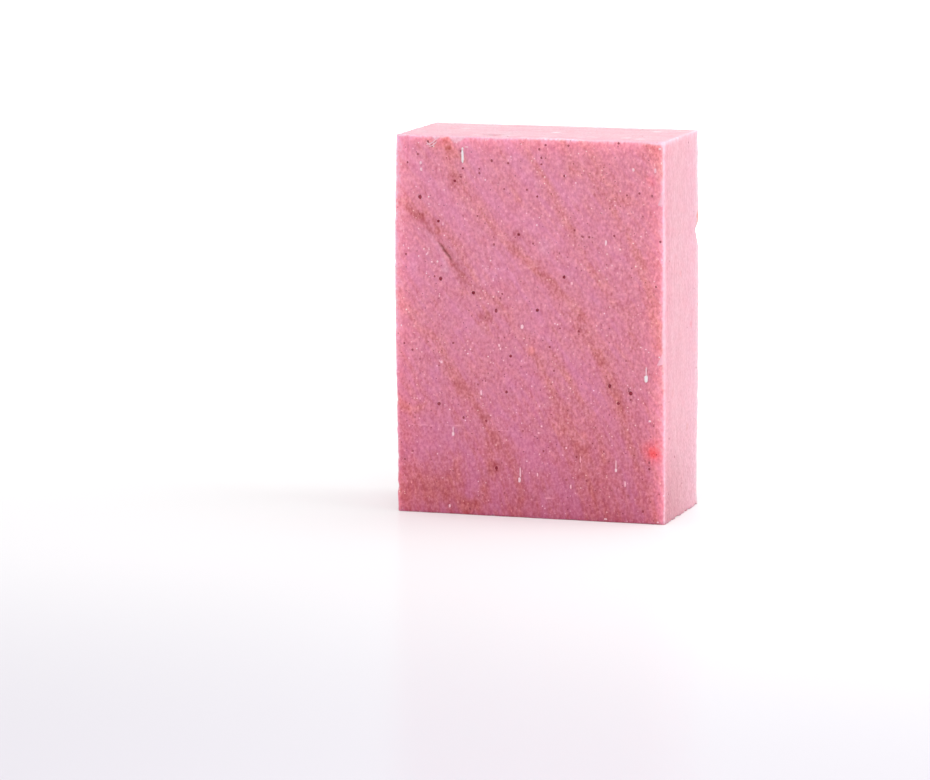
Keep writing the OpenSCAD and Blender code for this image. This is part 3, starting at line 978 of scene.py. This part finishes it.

# Spots on the narrow faces, as (place, reach, strength, colour). The near-white ones on the top end are
# partly painted sheen.
SKIN_SPOTS = [
    ((32.4, 13.9, 68.8), 1.5, 0.85, (216, 120, 104)), ((32.4, 13.6, 67.6), 1.2, 0.7, (220, 128, 112)),
    ((2.3, -0.1, 89), 1.9, 0.8, (255, 238, 242)), ((24.5, 7.5, 89), 1.8, 0.85, (255, 242, 246)),
    ((11, -9.3, 89), 1.6, 0.45, (255, 226, 236)), ((14, -8.4, 89), 1.5, 0.45, (255, 226, 236)),
    ((-6, -13.2, 89), 1.8, 0.5, (254, 216, 228)), ((32, -14, 88.6), 1.8, 0.6, (250, 204, 228)),
    ((32.6, 8, 44), 1.5, 0.4, (236, 120, 138)), ((32.6, -1, 57), 1.3, 0.35, (232, 124, 138)),
    ((32.6, 14.4, 48), 0.9, 0.5, (230, 112, 122)), ((32.5, -8, 30), 1.8, 0.25, (226, 130, 140)),
    ((32.5, 5, 20), 1.6, 0.3, (222, 128, 130)), ((5, 3, 89), 2, 0.3, (236, 150, 160)),
    ((24, -4, 89), 1.5, 0.3, (240, 150, 165)), ((-24, 2, 89), 1.8, 0.3, (238, 150, 150)),
    ((-2, -12.6, 89), 2, 0.5, (255, 226, 236)), ((3, -12.6, 89), 2, 0.5, (255, 228, 238)),
    ((7, -12.9, 89), 1.8, 0.5, (255, 224, 234)), ((21.5, -7.5, 89), 2, 0.6, (255, 230, 236)),
    ((25, -9.5, 89), 2, 0.6, (255, 232, 238)), ((-21, 3.5, 89), 1.8, 0.5, (255, 228, 234)),
]

# Round spots on the front face, as (x, z, reach, strength, colour)
SPOTS = [
    (-19.5, 86, 1.2, 0.8, (190, 88, 84)), (-20.3, 87.8, 1.3, 0.6, RUST), (-22, 86.8, 1.5, 0.4, RUST),
    (-17.2, 87.7, 1.8, 0.5, (250, 182, 206)), (-20.4, 57.4, 1.9, 0.4, (226, 166, 190)),
    (0.5, 39.5, 1.6, 0.7, SALMON), (13, 20, 1.6, 0.5, SALMON), (12, 18.5, 1.2, 0.5, SALMON),
    (30, 17, 4.2, 0.6, (248, 108, 120)), (30.1, 16.8, 1.9, 0.65, (240, 66, 72)),
    (29, 80, 2, 0.3, (245, 120, 140)), (3.8, 63.7, 2.6, 0.35, (238, 178, 200)),
    (12.6, 19.2, 1.8, 0.3, (228, 162, 182)), (4.4, 6.3, 2.4, 0.3, (214, 142, 166)),
]

# Faint level scratches on the front face, as (x, z, reach to each side, strength)
SCRATCHES = [(-26, 20.8, 3.6, 0.35), (-18, 21, 3.4, 0.3), (-6.5, 20.4, 4, 0.3), (4.6, 4.9, 1.6, 0.5)]
SCRATCH_PINK = tone(246, 184, 204)


def level_scratches(shading, position, colour):
    """Draws the faint level scratches, as spots that are squeezed to frayed lines."""
    frayed = shading.warp(position, 1.2, 0.35)
    for x, z, reach, strength in SCRATCHES:
        squeeze = (1 / reach, 1 / 3, 1 / 0.22)
        centre = (x * squeeze[0], float(FRONT_Y) * squeeze[1], z * squeeze[2])
        near = shading.spot(shading.stretch(frayed, squeeze), centre, 0.1, 1.2)
        colour = shading.tint(colour, near, strength, SCRATCH_PINK)
    return colour


def swirled_soap(shading, position):
    """The soap's own colour: two tones in curtains, deeper towards the foot, with a few spots."""
    height = shading.math("DIVIDE", shading.split(position)[2], float(HEIGHT))
    mauve = shading.colour_ramp(height, [(at / HEIGHT, colour) for at, colour in MAUVE])
    brown = shading.colour_ramp(height, [(at / HEIGHT, colour) for at, colour in BROWN])
    brownness = swirl(shading, position)
    colour = shading.blend(brownness, mauve, brown)
    colour = shading.blend(shading.mask("dark"), colour, THICK_BROWN)
    spots = [((x, float(FRONT_Y), z), *look) for x, z, *look in SPOTS]
    colour = shading.add_spots(colour, shading.warp(position, 1.0, 0.7), spots)
    return level_scratches(shading, position, colour), brownness


def crease_soap_shade_and_highlight(shading, colour):
    """Darkens the fissure and browns the hollow beside it, with dark soap and painted shade, and paints a
    highlight on its raised lip.
    """
    colour = shading.tint(colour, shading.mask("hollow"), 0.3, HOLLOW_BROWN_AND_SHADE)
    colour = shading.tint(colour, shading.mask("lip"), 0.4, LIP_HIGHLIGHT)
    return shading.tint(colour, shading.mask("fissure"), 0.65, FISSURE_DARK_AND_SHADE)


# Painted glow of light coming out through the soap: how the broad faces grow pinker and paler towards their
# rims, as (reach, what is added)
RIM_GLOW_FALLOFFS = [(2.8, tone(29, 15, 13)), (0.65, tone(16, 52, 50))]

# Their lower corners, with painted glow at the right and painted shade at the left, as (x start, x full, z
# full, z end, what is added)
LIT_AND_SHADED_CORNERS = [(28.0, 32.3, 20, 45, tone(14, 17, 17)), (-28.5, -32.5, 22, 50, tone(-20, -22, -20))]


def painted_rim_glow(shading, position, colour):
    """Paints a glow on the broad faces, pinker and paler towards their rims, and paints light and shade at
    their lower corners.
    """
    inland = shading.mask("inland")
    for reach, amount in RIM_GLOW_FALLOFFS:
        colour = shading.add(colour, shading.falloff(inland, reach), amount)
    x, _, z = shading.split(position)
    for x_start, x_full, z_full, z_end, amount in LIT_AND_SHADED_CORNERS:
        side = shading.fade(x, x_start, x_full)
        low = shading.fade(z, z_full, z_end, 1.0, 0.0)
        colour = shading.add(colour, shading.times(side, low), amount)
    return colour


# How strongly the grain shows in red, green and blue
GRAIN_TINT = (0.82, 1.18, 1.16)

# What the pale clouds and the flecks add to the soap's colour
PALE_CLOUD = tone(6, 7, 6)
DARK_FLECK = tone(-52, -54, -58)
ROUND_FLECK = tone(28, 62, 52)
DRAWN_FLECK = tone(26, 48, 36)


def granules(shading, position):
    """Fine light and dark grain around 0, drawn a little downward by the blade."""
    fine = shading.swing(shading.noise(shading.stretch(position, (1, 1, 0.75)), 1.8, 2, 0.55), 0.163)
    drawn = shading.swing(shading.noise(shading.stretch(position, (1, 1, 0.28)), 1.3, 1), 0.045)
    return shading.math("ADD", fine, drawn)


def add_flecks(shading, position, colour, sandiness):
    """Scatters dark flecks, pale round ones in patches, and pale ones that the blade has drawn."""
    colour = shading.add(colour, shading.dots(position, 1.5, 0.2, 0.065), DARK_FLECK)
    patchy = shading.fade(shading.noise(position, 0.14, 2), 0.35, 0.65, 0.4, 1.5)
    round_flecks = shading.times(shading.dots(position, 1.6, 0.21, 0.105), patchy)
    drawn = shading.stretch(position, (1.2, 1.2, 0.5))
    drawn_flecks = shading.times(shading.dots(drawn, 1.5, 0.17, 0.09), sandiness)
    colour = shading.add(colour, round_flecks, ROUND_FLECK)
    return shading.add(colour, drawn_flecks, DRAWN_FLECK)


def cut_soap(shading, position, grain):
    """The soap as it shows where the blade cut it, on the two broad faces."""
    colour, brownness = swirled_soap(shading, position)
    colour = painted_rim_glow(shading, position, crease_soap_shade_and_highlight(shading, colour))
    sandiness = shading.fade(brownness, 0.0, 0.9, 0.8, 1.2)
    colour = shading.add(colour, shading.times(grain, sandiness), GRAIN_TINT)
    colour = shading.add(colour, shading.fade(shading.noise(position, 0.35, 2), 0.54, 0.72), PALE_CLOUD)
    return add_flecks(shading, position, colour, sandiness)


# The skin's streaks, its top end and where it hangs over the front face, all paler with painted sheen, and
# the dent with its rim
SKIN_SHEEN_DEEP = tone(233, 168, 183)
SKIN_SHEEN_LIGHT = tone(242, 183, 196)
SKIN_SHEEN_TOP = tone(240, 180, 194)
SKIN_SHEEN_HANG = tone(250, 197, 212)
DENT_SHADE = tone(188, 122, 132)
DENT_RIM_HIGHLIGHT = tone(254, 222, 230)

# What is added to the skin at the back, in the top end's flow, at the foot, along the front, and as a
# painted glow at the back rim
BACK_PALER = tone(3, 4, 7)
TOP_FLOW = tone(8, 30, 24)
FOOT_GREY = tone(-24, -26, -28)
FRONT_PINK = tone(-3, -12, -9)
BACK_RIM_GLOW = tone(6, 56, 44)


def side_skin_and_sheen(shading, position):
    """The skin of the upright sides, paler with painted sheen, with fine streaks."""
    streaks = shading.noise(shading.stretch(position, (0.2, 1.3, 0.25)), 1.0, 4, 0.65)
    skin = shading.blend(shading.fade(streaks, 0.3, 0.7), SKIN_SHEEN_DEEP, SKIN_SHEEN_LIGHT)
    return shading.add(skin, shading.fade(shading.split(position)[1], -2, 14), BACK_PALER)


def top_skin_and_sheen(shading, position):
    """The skin of the top end, which flowed along the bar, paler with painted sheen."""
    flow = shading.noise(shading.stretch(position, (0.08, 0.5, 1)), 1.0, 3, 0.6)
    return shading.add(SKIN_SHEEN_TOP[:3], shading.swing(flow, 1), TOP_FLOW)


def loaf_skin_and_sheen(shading, position, grain):
    """The pale skin on the four narrow faces with painted sheen, a painted glow at the back rim, and
    painted shade and highlight at the dent; greyer and with coarser grain towards the foot.
    """
    x, y, z = shading.split(position)
    facing = shading.split(shading.node("ShaderNodeNewGeometry").outputs["Normal"])[2]
    sides, top = side_skin_and_sheen(shading, position), top_skin_and_sheen(shading, position)
    skin = shading.blend(shading.fade(facing, 0.5, 0.9), sides, top)
    foot = shading.times(shading.fade(z, 0, 24, 1.0, 0.0), shading.fade(y, -12, 14, 1.0, 0.3))
    skin = shading.add(skin, foot, FOOT_GREY)
    skin = shading.add(skin, shading.fade(y, -14.6, -7, 1.0, 0.0), FRONT_PINK)
    skin = shading.blend(shading.mask("hang"), skin, SKIN_SHEEN_HANG)
    # A painted glow along the back rim, fainter at the left
    rim = shading.falloff(shading.math("SUBTRACT", float(BLOCK_HIGH[1]), y), 1.4)
    rim = shading.times(rim, shading.fade(x, -32.4, -28, 0.35, 1.0))
    skin = shading.add(skin, rim, BACK_RIM_GLOW)
    # Painted shade in the dent, and a painted highlight on the near side of its rim
    skin = shading.tint(skin, shading.mask("dent"), 0.85, DENT_SHADE)
    skin = shading.tint(skin, shading.mask("dent_rim_highlight"), 0.35, DENT_RIM_HIGHLIGHT)
    skin = shading.add_spots(skin, shading.warp(position, 1.0, 0.8), SKIN_SPOTS)
    coarse = shading.times(grain, shading.fade(z, 8, 40, 1.0, 0.7))
    return shading.add(skin, coarse, GRAIN_TINT)


# Painted shade added at the very foot, and the chalk and painted highlight of the worn edges low down and
# high up
FOOT_SHADE = tone(-7, -20, -18)
CHALK_AND_HIGHLIGHT_LOW = tone(252, 207, 218)
CHALK_AND_HIGHLIGHT_HIGH = tone(252, 214, 228)


def worn_and_lit_edges(shading, position, colour):
    """Paints shade at the foot, and makes the edges chalky in patches where the soap wore, with a painted
    highlight.
    """
    height = shading.split(position)[2]
    colour = shading.add(colour, shading.falloff(height, 0.8), FOOT_SHADE)
    chalky = shading.fade(shading.noise(position, 0.6, 3), 0.3, 0.65, 0.25, 0.95)
    chalk_and_highlight = shading.blend(shading.fade(height, 25, 85), CHALK_AND_HIGHLIGHT_LOW, CHALK_AND_HIGHLIGHT_HIGH)
    return shading.tint(colour, shading.mask("wear_and_highlight"), chalky, chalk_and_highlight)


def soap_material():
    """Mauve and rose-brown soap with fine grain, pale loaf skin with painted sheen on the narrow faces,
    painted glow and highlights at rims and edges, and waxy depth.
    """
    shading = Shading("soap")
    position = shading.position()
    grain = granules(shading, position)
    cut = cut_soap(shading, position, grain)
    colour = shading.blend(shading.mask("skin"), cut, loaf_skin_and_sheen(shading, position, grain))
    colour = worn_and_lit_edges(shading, position, colour)
    shading.finish(colour, shading.fade(shading.noise(position, 0.3), 0.3, 0.7, 0.42, 0.55))
    shading.shader.inputs["IOR"].default_value = 1.45
    shading.glow_through(0.85, (1.0, 0.35, 0.4), 2.8)
    bump = shading.node("ShaderNodeBump", {"Height": grain, "Strength": 0.3, "Distance": 0.3 * MM})
    shading.feed(shading.shader.inputs["Normal"], bump.outputs[0])
    return shading.material


# The specks' darkest and palest maroon, and the smears' pink and white
SPECK_DARK = tone(140, 42, 58)
SPECK_PALE = tone(192, 98, 112)
SMEAR_PINK = tone(255, 184, 204)
SMEAR_WHITE = tone(255, 244, 249)


def speck_material():
    """Ground petals and seeds: dark maroon, from near black to red-brown."""
    shading = Shading("dark_speck")
    mottle = shading.noise(shading.position(), 2.5, 2)
    colour = shading.blend(shading.mask("whiteness"), SPECK_DARK, SPECK_PALE)
    colour = shading.add(colour, shading.swing(mottle, 0.12), (1, 1, 1))
    shading.finish(colour, 0.65)
    shading.shader.inputs["IOR"].default_value = 1.3
    shading.glow_through(0.3, (1.0, 0.5, 0.5), 0.5)
    return shading.material


def smear_material():
    """Crumbs and drawn smears of undyed soap, from pink to white."""
    shading = Shading("pale_smear")
    mottle = shading.noise(shading.position(), 1.8, 2)
    colour = shading.blend(shading.mask("whiteness"), SMEAR_PINK, SMEAR_WHITE)
    colour = shading.add(colour, shading.swing(mottle, 0.03), (1, 1, 1))
    shading.finish(colour, 0.45)
    shading.glow_through(0.2, (1.0, 1.0, 1.0), 0.3)
    return shading.material


# The photograph's camera, in degrees, millimetres and pixels, from a perspective solve on the bar's corners
CAMERA_AZIMUTH = 17.7278
CAMERA_ELEVATION = 8.7991
CAMERA_ROLL = -0.1664
CAMERA_DISTANCE = 1173.5
AIM_SHIFT = (-19.468, -16.266)
FOCAL_PIXELS = 5000
FRAME_WIDTH = 930
SENSOR_WIDTH = 36


def build_camera():
    """The photograph's camera: a long lens, a little to the right of the bar and above it."""
    turns = (CAMERA_AZIMUTH, CAMERA_ELEVATION, CAMERA_ROLL)
    azimuth, elevation, roll = (math.radians(turn) for turn in turns)
    level = math.cos(elevation)
    back = Vector((math.sin(azimuth) * level, -math.cos(azimuth) * level, math.sin(elevation)))
    right = Vector((0, 0, 1)).cross(back).normalized()
    up = back.cross(right)
    right, up = (
        math.cos(roll) * right + math.sin(roll) * up,
        math.cos(roll) * up - math.sin(roll) * right,
    )
    aim = Vector((0.125, 0.125, HEIGHT / 2)) + AIM_SHIFT[0] * right + AIM_SHIFT[1] * up
    camera = bpy.data.cameras.new("camera")
    camera.sensor_width = SENSOR_WIDTH
    camera.lens = FOCAL_PIXELS * SENSOR_WIDTH / FRAME_WIDTH
    camera.clip_start = 0.01
    viewer = add_object("camera", camera)
    turn = Matrix((right, up, back)).transposed().to_4x4()
    viewer.matrix_world = Matrix.Translation((aim + CAMERA_DISTANCE * back) * MM) @ turn
    bpy.context.scene.camera = viewer


# Square soft lamps, as (name, place, size, watts), and the place that they shine at
LAMPS = [
    ("lamp_right", (520, 60, 240), 500, 1.3),
    ("lamp_left", (-520, 0, 220), 500, 0.8),
    ("lamp_top", (60, 60, 640), 600, 1.5),
    ("lamp_front", (160, -760, 420), 500, 1.85),
]
LAMP_AIM = Vector((0, 0, 45))


def build_lamps():
    """The square soft lamps round the bar."""
    for name, place, size, watts in LAMPS:
        light = bpy.data.lights.new(name, "AREA")
        light.size = size * MM
        light.energy = watts
        lamp = add_object(name, light)
        turn = (LAMP_AIM - Vector(place)).to_track_quat("-Z", "Y").to_matrix().to_4x4()
        lamp.matrix_world = Matrix.Translation(Vector(place) * MM) @ turn


def build_world():
    """Soft white light all round, and plain white where the camera or a reflection sees past the floor."""
    world = bpy.data.worlds.new("studio")
    bpy.context.scene.world = world
    world.use_nodes = True
    nodes = Nodes(world.node_tree)
    rays = nodes.node("ShaderNodeLightPath").outputs
    seen = nodes.math("MAXIMUM", rays["Is Camera Ray"], rays["Is Glossy Ray"])
    through = nodes.math("MAXIMUM", seen, rays["Is Transmission Ray"])
    background = world.node_tree.nodes["Background"]
    background.inputs["Color"].default_value = (1, 1, 1, 1)
    nodes.feed(background.inputs["Strength"], nodes.fade(through, 0, 1, 0.5, 1.0))


# The share of the floor that mirrors
FLOOR_SHEEN = 0.09

# The floor's colour to all rays, and its colour in front to the camera, as shares of the light
FLOOR_WHITE = (0.8, 0.8, 0.8, 1)
FLOOR_FRONT = (0.735, 0.705, 0.765, 1)

# How far the floor reaches to each side, in metres
FLOOR_REACH = 3.0


def floor_material():
    """White acrylic that the camera sees a little greyer in front, with painted light that only the camera
    sees, brighter towards the back and to the right, a soft shadow and a faint mirror image.
    """
    shading = Shading("floor")
    seen = shading.node("ShaderNodeLightPath").outputs["Is Camera Ray"]
    position = shading.position()
    x, y, _ = shading.split(position)
    far = shading.fade(shading.vector_math("LENGTH", position)["Value"], 430, 800)
    near = shading.times(shading.fade(y, -320, 60, 1.0, 0.0), shading.math("SUBTRACT", 1.0, far))
    colour = shading.blend(seen, FLOOR_WHITE, shading.blend(near, FLOOR_WHITE, FLOOR_FRONT))
    matt = shading.node("ShaderNodeBsdfDiffuse", {"Color": colour})
    # Painted light: a glow that only the camera sees, brighter towards the back and to the right, dimmer in
    # front and to the left
    glow = shading.math("ADD", shading.fade(y, 20, 350, 0.22, 0.82), shading.fade(x, -40, 110, 0.0, 0.12))
    glow = shading.math("MAXIMUM", shading.times(glow, shading.fade(near, 0, 1, 1.0, 0.4)), far)
    glow = shading.node("ShaderNodeEmission", {"Strength": shading.times(seen, glow)})
    both = shading.node("ShaderNodeAddShader", {0: matt.outputs[0], 1: glow.outputs[0]})
    sheen = shading.node("ShaderNodeBsdfGlossy", {"Roughness": 0.2})
    mixed = shading.node("ShaderNodeMixShader", {0: FLOOR_SHEEN, 1: both.outputs[0], 2: sheen.outputs[0]})
    shading.feed(shading.output.inputs["Surface"], mixed.outputs[0])
    return shading.material


def build_floor():
    """A wide pale floor that keeps the bar's shadow."""
    mesh = bpy.data.meshes.new("floor")
    corners = [(-1, -1, 0), (1, -1, 0), (1, 1, 0), (-1, 1, 0)]
    mesh.from_pydata((FLOOR_REACH * np.array(corners)).tolist(), [], [(0, 1, 2, 3)])
    mesh.materials.append(floor_material())
    add_object("floor", mesh)


def build_bar():
    """The block and the small things on it."""
    points, quads, masks = sculpt_block()
    block = make_piece("soap_block", points, quads, soap_material(), masks)
    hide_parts("soap_bar")
    surface = Surface(points, quads)
    set_lenses("dark_specks", speck_spots(), surface, speck_material(), SPECK_LENS)
    smear = smear_material()
    set_lenses("pale_smears", smear_spots(), surface, smear, SMEAR_LENS)
    set_burrs(surface, smear)
    set_shaving(surface, smear)


build_bar()
build_camera()
build_world()
build_floor()
build_lamps()

bpy.context.scene.view_settings.view_transform = "Standard"
